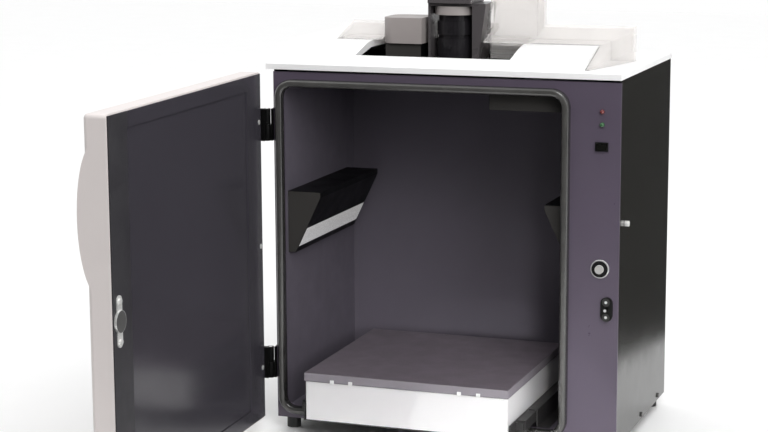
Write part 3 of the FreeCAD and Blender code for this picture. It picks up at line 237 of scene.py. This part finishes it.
def brushed(name, colour, rough, stretch, metal=1.0, dark_reflection_spot=None):
    """Bare or plated metal with drawn lines; the last argument is the centre and radius of a dark spot, a
    painted reflection.
    """
    material, tree, shader = new_material(name)
    shader.inputs["Metallic"].default_value = metal
    vector = place_coords(tree, stretch)
    lines = noise(tree, vector, 60, 6, 0.7)
    tone = uneven(tree, remap(tree, lines, 0, 1), colour, 0.82, 1.1)
    if dark_reflection_spot:
        centre, radius = dark_reflection_spot
        # A painted reflection: the dark spot on the strike's disc.
        spot = near_points(tree, place_coords(tree), [centre], radius * 0.94, radius + 0.0001)
        tone = mix_colour(tree, spot, tone, shade(colour, 0.16))
    tree.links.new(tone, shader.inputs["Base Color"])
    vary_roughness(tree, shader, lines, rough, 0.8, 1.25)
    add_bump(tree, shader, lines, 0.06, 0.0001)
    return material


def rubber(name, colour, rough, gloss=0.5, crest_highlight=1.0):
    """Extruded rubber: dusty and uneven, with a painted highlight, a paler tone, on the crest that looks
    forward.
    """
    material, tree, shader = new_material(name)
    vector = place_coords(tree)
    dust = noise(tree, vector, 45, 6, 0.65)
    # Painted highlight: the crest that looks forward takes a paler tone.
    crest = remap(tree, facing(tree, "Y"), 1, 0, -0.95, -0.70)
    side = uneven(tree, remap(tree, dust, 0, 1), colour, 0.85, 1.25)
    pale = shade(colour, crest_highlight)
    top = uneven(tree, remap(tree, dust, 0, 1), pale, 0.85, 1.25)
    tree.links.new(mix_colour(tree, crest, side, top), shader.inputs["Base Color"])
    vary_roughness(tree, shader, dust, rough, 0.85, 1.1)
    shader.inputs["Specular IOR Level"].default_value = gloss
    add_bump(tree, shader, noise(tree, vector, 1600, 2), 0.12, 0.0001)
    return material


def lamp_lens(name, colour, painted_glow):
    """A small moulded lens, indicator and diffuser alike; its emission is painted light that brightens it
    as light falling on it would.
    """
    material, tree, shader = new_material(name)
    vector = place_coords(tree)
    swirl = noise(tree, vector, 500, 3)
    tint = uneven(tree, remap(tree, swirl, 0, 1), colour, 0.8, 1.15)
    tree.links.new(tint, shader.inputs["Base Color"])
    # Emission here is painted light that brightens the lens.
    tree.links.new(tint, shader.inputs["Emission Color"])
    shader.inputs["Emission Strength"].default_value = painted_glow
    tree.links.new(remap(tree, swirl, 0.12, 0.22), shader.inputs["Roughness"])
    shader.inputs["Coat Weight"].default_value = 0.5
    return material


def clear(name, colour, rough, ior, density):
    """Glass or acrylic: mostly see-through, with faint smears in its gloss."""
    material, tree, shader = new_material(name)
    vector = place_coords(tree)
    smear = noise(tree, vector, 16, 6, 0.7)
    tree.links.new(uneven(tree, remap(tree, smear, 0, 1), colour, 0.94, 1.03),
                   shader.inputs["Base Color"])
    vary_roughness(tree, shader, smear, rough, 0.7, 1.4)
    shader.inputs["Transmission Weight"].default_value = density
    shader.inputs["IOR"].default_value = ior
    return material


def knurled(name, colour, rough, centre, teeth):
    """Anodised lens ring with upright grip ridges round its axis."""
    material, tree, shader = new_material(name)
    vector = place_coords(tree)
    split = add(tree, "ShaderNodeSeparateXYZ")
    tree.links.new(vector, split.inputs["Vector"])
    offsets = []
    for axis, middle in zip("XY", centre):
        shift = add(tree, "ShaderNodeMath", operation="SUBTRACT")
        shift.inputs[1].default_value = middle
        tree.links.new(split.outputs[axis], shift.inputs[0])
        offsets.append(shift.outputs["Value"])
    angle = add(tree, "ShaderNodeMath", operation="ARCTAN2")
    tree.links.new(offsets[1], angle.inputs[0])
    tree.links.new(offsets[0], angle.inputs[1])
    turns = add(tree, "ShaderNodeMath", operation="MULTIPLY")
    turns.inputs[1].default_value = teeth
    tree.links.new(angle.outputs["Value"], turns.inputs[0])
    wave = add(tree, "ShaderNodeMath", operation="SINE")
    tree.links.new(turns.outputs["Value"], wave.inputs[0])
    ridge = remap(tree, wave.outputs["Value"], 0, 1, -0.4, 0.4)
    dust = noise(tree, vector, 200, 4)
    tone = uneven(tree, ridge, colour, 0.7, 1.3)
    tree.links.new(tone, shader.inputs["Base Color"])
    vary_roughness(tree, shader, dust, rough, 0.85, 1.2)
    add_bump(tree, shader, ridge, 0.2, 0.0004)
    return material


# The finish of every slot of the record

def lens_centre():
    low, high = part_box("lens_barrel")
    return ((low[0] + high[0]) / 2, (low[1] + high[1]) / 2)


def strike_disc():
    """Centre and radius of the disc in the middle of the strike plate."""
    low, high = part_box("strike_plate")
    centre = tuple((a + b) / 2 for a, b in zip(low, high))
    return centre, (high[1] - low[1]) / 2


def crown_centres():
    """The middles of the two screw heads and of the button between them, on their front faces."""
    low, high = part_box("interlock_screws")
    radius = (high[0] - low[0]) / 2
    middle = low[0] + radius
    button_low, button_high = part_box("interlock_plunger")
    button = ((button_low[0] + button_high[0]) / 2, button_low[1], (button_low[2] + button_high[2]) / 2)
    return [(middle, low[1], low[2] + radius), (middle, low[1], high[2] - radius), button]


def finishes():
    return {
        "black_paint": coated(
            "black_powder_coat", (0.010, 0.0096, 0.0075), rough=0.17, grain=500, bump=0.006,
            spread=0.05, wear=1.2, gloss=0.6),
        "purple_paint": coated(
            "fascia_paint", (0.083, 0.067, 0.095), rough=0.32, grain=900, bump=0.01, spread=0.04,
            wear=1.3, gloss=0.6),
        "door_paint": edged_panel("door_panel_paint", (0.043, 0.040, 0.049), rough=0.20, width=0.048),
        "chamber_paint": coated(
            "chamber_paint", (0.106, 0.095, 0.118), rough=0.50, grain=1200, bump=0.08, spread=0.05),
        # The second colour is a painted reflection on the faces that look forward.
        "lamp_black": black_with_painted_reflection("lamp_black", (0.0025, 0.0026, 0.003), (0.040, 0.038, 0.036), rough=0.45),
        # The diffuser's glow is painted light, standing in for light that falls on it.
        "diffuser_white": lamp_lens("opal_diffuser", (0.90, 0.885, 0.87), painted_glow=0.21),
        "white_plastic": coated(
            "white_moulding", (0.86, 0.86, 0.86), rough=0.42, grain=1500, bump=0.04, spread=0.02,
            wear=1.03),
        "door_plastic": coated(
            "door_moulding", (0.745, 0.690, 0.675), rough=0.45, grain=1500, bump=0.05, spread=0.02,
            wear=1.1),
        "box_white": coated(
            "white_enamel", (0.74, 0.73, 0.735), rough=0.36, grain=1200, bump=0.05, spread=0.02,
            wear=1.03),
        # First colour: painted shade on the top. Second colour: painted light on the skirt.
        "lid_purple": lit_and_shaded_moulding(
            "lid_moulding", (0.130, 0.110, 0.129), (0.240, 0.220, 0.246), rough=0.46),
        # The seal's crest carries a painted highlight, 2.6 times paler than the rubber.
        "seal_rubber": rubber("seal_rubber", (0.022, 0.0215, 0.0205), rough=0.18, gloss=1.0, crest_highlight=2.6),
        "foot_rubber": rubber("foot_rubber", (0.014, 0.014, 0.014), rough=0.6),
        "hinge_black": coated(
            "hinge_black", (0.003, 0.003, 0.003), rough=0.42, grain=1500, bump=0.05, spread=0.08,
            wear=1.35, gloss=0.08),
        "bright_steel": brushed(
            "bright_steel", (0.90, 0.90, 0.88), rough=0.34, stretch=(1, 14, 14), metal=0.55,
            # The strike disc's dark spot is a painted reflection.
            dark_reflection_spot=strike_disc()),
        "dark_screw": coated("dark_screw", (0.06, 0.058, 0.056), rough=0.35, grain=2500, bump=0.08),
        "tray_steel": coated("tray_black", (0.022, 0.021, 0.021), rough=0.4, grain=1400, bump=0.1),
        "chrome_ring": brushed(
            "chrome_ring", (0.72, 0.72, 0.71), rough=0.14, stretch=(3, 3, 3), metal=0.5),
        "black_plastic": coated(
            "black_plastic", (0.008, 0.008, 0.008), rough=0.42, grain=2200, bump=0.1, spread=0.08,
            wear=1.35, gloss=0.15),
        # The pale second colour is a painted highlight on each screw head and on the button.
        "rocker_black": black_with_painted_glints(
            "gloss_black", (0.006, 0.006, 0.005), (0.62, 0.62, 0.62), rough=0.07,
            centres=crown_centres(), radius=0.0018),
        "plunger_white": coated(
            "button_white", (0.44, 0.435, 0.42), rough=0.30, grain=2200, bump=0.03, spread=0.06,
            wear=1.05),
        "red_lens": lamp_lens("red_lens", (0.13, 0.018, 0.018), painted_glow=0.0),
        "green_lens": lamp_lens("green_lens", (0.025, 0.10, 0.035), painted_glow=0.0),
        "lens_black": knurled(
            "lens_ridges", (0.014, 0.0128, 0.0150), rough=0.18, centre=lens_centre(), teeth=90),
        "camera_grey": coated("camera_grey", (0.320, 0.289, 0.281), rough=0.45, grain=1800, bump=0.08),
        "bracket_dark": coated(
            "bracket_dark", (0.075, 0.068, 0.071), rough=0.28, grain=1500, bump=0.06),
        "smoked_acrylic": clear(
            "hood_acrylic", (0.895, 0.878, 0.867), rough=0.10, ior=1.03, density=0.80),
        "filter_glass": clear("filter_glass", (0.04, 0.015, 0.08), rough=0.04, ior=1.5, density=0.6),
        "tube_glass": clear("tube_glass", (0.85, 0.87, 0.9), rough=0.15, ior=1.3, density=0.5),
        "supply_case": brushed("supply_case", (0.55, 0.55, 0.55), rough=0.4, stretch=(14, 1, 14)),
    }


def dress_nodes():
    """Give every node its slot's finish."""
    finish = finishes()
    for entry in frame["record"]["subparts"]:
        obj = nodes[entry["node"]]
        obj.data.materials.clear()
        obj.data.materials.append(finish[entry["material_slot"]])


# Largest width of each node's broken edges, in millimetres; round pieces leave room for far less
BROKEN_EDGES = {
    "top_cover": 1.6, "door_shell": 1.2, "cover_plate": 1.2, "transilluminator_housing": 1.4,
    "camera_control_box": 1.2, "camera_hood": 0.8, "left_lamp_housing": 0.6,
    "right_lamp_housing": 0.6, "lamp_diffusers": 0.5, "chamber_light_box": 0.6, "camera_body": 1.0,
    "camera_bracket": 0.6, "hinge_body_leaves": 0.5, "hinge_door_leaves": 0.5, "lid_clips": 0.4,
    "switch_bezel": 0.4, "switch_rocker": 0.4, "catch_bezel": 0.5, "catch_body": 0.4,
    "catch_plunger": 0.6, "interlock_plate": 0.4, "interlock_plunger": 0.8, "strike_plate": 0.4,
    "door_screws": 0.2, "interlock_screws": 2.3, "side_panel_screws": 0.4, "side_peg": 0.6,
    "feet": 1.0, "power_inlet": 0.5, "drawer_tray": 0.4,
}


JOIN_DISTANCE = 0.005
SHARP_ANGLE = 35
WIDE_EDGE = 2
WIDE_STEPS = 6
PLAIN_STEPS = 3


def break_edges():
    """Join each node's faces where they meet, then break the sharp edges between them."""
    for name, width in BROKEN_EDGES.items():
        obj = nodes[name]
        weld = obj.modifiers.new("joined_faces", "WELD")
        weld.merge_threshold = JOIN_DISTANCE * MM
        bevel = obj.modifiers.new("broken_edges", "BEVEL")
        bevel.width = width * MM
        bevel.segments = WIDE_STEPS if width > WIDE_EDGE else PLAIN_STEPS
        bevel.limit_method = "ANGLE"
        bevel.angle_limit = math.radians(SHARP_ANGLE)
        bevel.harden_normals = True


# Studio and camera

CAMERA_PLACE = (765.9, -2453.7, 731.5)
CAMERA_TURN = -20.01
CAMERA_DIP = 10.18
CAMERA_ROLL = -0.28
FOCAL_PIXELS = 1992.1
FRAME_WIDTH = 768


def camera():
    data = bpy.data.cameras.new("camera")
    data.sensor_width = 36
    data.lens = FOCAL_PIXELS / FRAME_WIDTH * data.sensor_width
    data.clip_end = 50
    turn, dip, roll = (math.radians(angle) for angle in (CAMERA_TURN, CAMERA_DIP, CAMERA_ROLL))
    ahead = Vector((math.sin(turn) * math.cos(dip), math.cos(turn) * math.cos(dip), -math.sin(dip)))
    right = Vector((math.cos(turn), -math.sin(turn), 0))
    up = right.cross(ahead)
    right_rolled = right * math.cos(roll) + up * math.sin(roll)
    up_rolled = up * math.cos(roll) - right * math.sin(roll)
    matrix = Matrix((right_rolled, up_rolled, -ahead)).transposed().to_4x4()
    matrix.translation = Vector(CAMERA_PLACE) * MM
    obj = bpy.data.objects.new("camera", data)
    bpy.context.collection.objects.link(obj)
    obj.matrix_world = matrix
    bpy.context.scene.camera = obj


def area_light(name, place, target, size, power, spread=180):
    data = bpy.data.lights.new(name, "AREA")
    data.size = size
    data.energy = power
    data.spread = math.radians(spread)
    obj = bpy.data.objects.new(name, data)
    bpy.context.collection.objects.link(obj)
    obj.location = place
    obj.rotation_euler = (Vector(target) - Vector(place)).to_track_quat("-Z", "Y").to_euler()


CARD_BLACK = (0.02, 0.02, 0.02)


def card(name, size, place, turn, polished, matt):
    """A dark, flat studio card out of the picture, which polished faces, matt faces or both of them see."""
    bpy.ops.mesh.primitive_plane_add(size=1, location=place, rotation=turn)
    obj = bpy.context.object
    obj.name = name
    obj.scale = (size[0], size[1], 1)
    black = coated(name, CARD_BLACK, rough=0.8, grain=300, bump=0.02, spread=0.02, wear=1.0)
    obj.data.materials.append(black)
    obj.visible_camera = False
    obj.visible_glossy = polished
    obj.visible_diffuse = matt
    obj.visible_shadow = False
    obj.visible_transmission = False


def open_back(name):
    """Let light through a card's back, so that the floor under it keeps its light."""
    tree = bpy.data.objects[name].data.materials[0].node_tree
    geometry = add(tree, "ShaderNodeNewGeometry")
    through = add(tree, "ShaderNodeBsdfTransparent")
    sides = add(tree, "ShaderNodeMixShader")
    tree.links.new(geometry.outputs["Backfacing"], sides.inputs[0])
    tree.links.new(tree.nodes["Principled BSDF"].outputs["BSDF"], sides.inputs[1])
    tree.links.new(through.outputs["BSDF"], sides.inputs[2])
    tree.links.new(sides.outputs["Shader"], tree.nodes["Material Output"].inputs["Surface"])


def studio():
    bpy.ops.mesh.primitive_plane_add(size=14, location=(0, 0, 0))
    floor = bpy.context.object
    floor.name = "floor"
    paper = coated("floor", (0.98, 0.98, 0.98), rough=0.5, grain=300, bump=0.01, spread=0.01, wear=1.0)
    floor.data.materials.append(paper)
    upright = math.radians(90)
    card("side_card", size=(0.6, 0.7), place=(0.32, 0.43, 0.35),
         turn=(upright, 0, math.radians(102.8)), polished=True, matt=False)
    card("front_card", size=(4.0, 1.5), place=(-0.2, -1.1, 0.75),
         turn=(upright, 0, 0), polished=True, matt=True)
    card("floor_card", size=(0.8, 0.75), place=(0.20, -0.73, 0.003),
         turn=(0, 0, 0), polished=False, matt=True)
    open_back("floor_card")
    world = bpy.data.worlds.new("studio")
    world.use_nodes = True
    world.node_tree.nodes["Background"].inputs["Color"].default_value = (1.0, 1.0, 1.0, 1)
    world.node_tree.nodes["Background"].inputs["Strength"].default_value = 1.0
    bpy.context.scene.world = world
    area_light("key", place=(1.2, -2.2, 2.4), target=(0, 0, 0.3),
               size=1.6, power=55)
    area_light("fill", place=(-2.4, -2.2, 2.6), target=(0, -0.2, 0.3),
               size=2.5, power=18)
    area_light("side", place=(1.8, -1.9, 1.1), target=(0, -0.1, 0.15),
               size=0.8, power=20)
    area_light("low", place=(1.05, -2.4, 0.55), target=(0.1, -0.15, 0.02),
               size=0.3, power=0.36, spread=16)
    bpy.context.scene.view_settings.view_transform = "Standard"


dress_nodes()
break_edges()
studio()
camera()
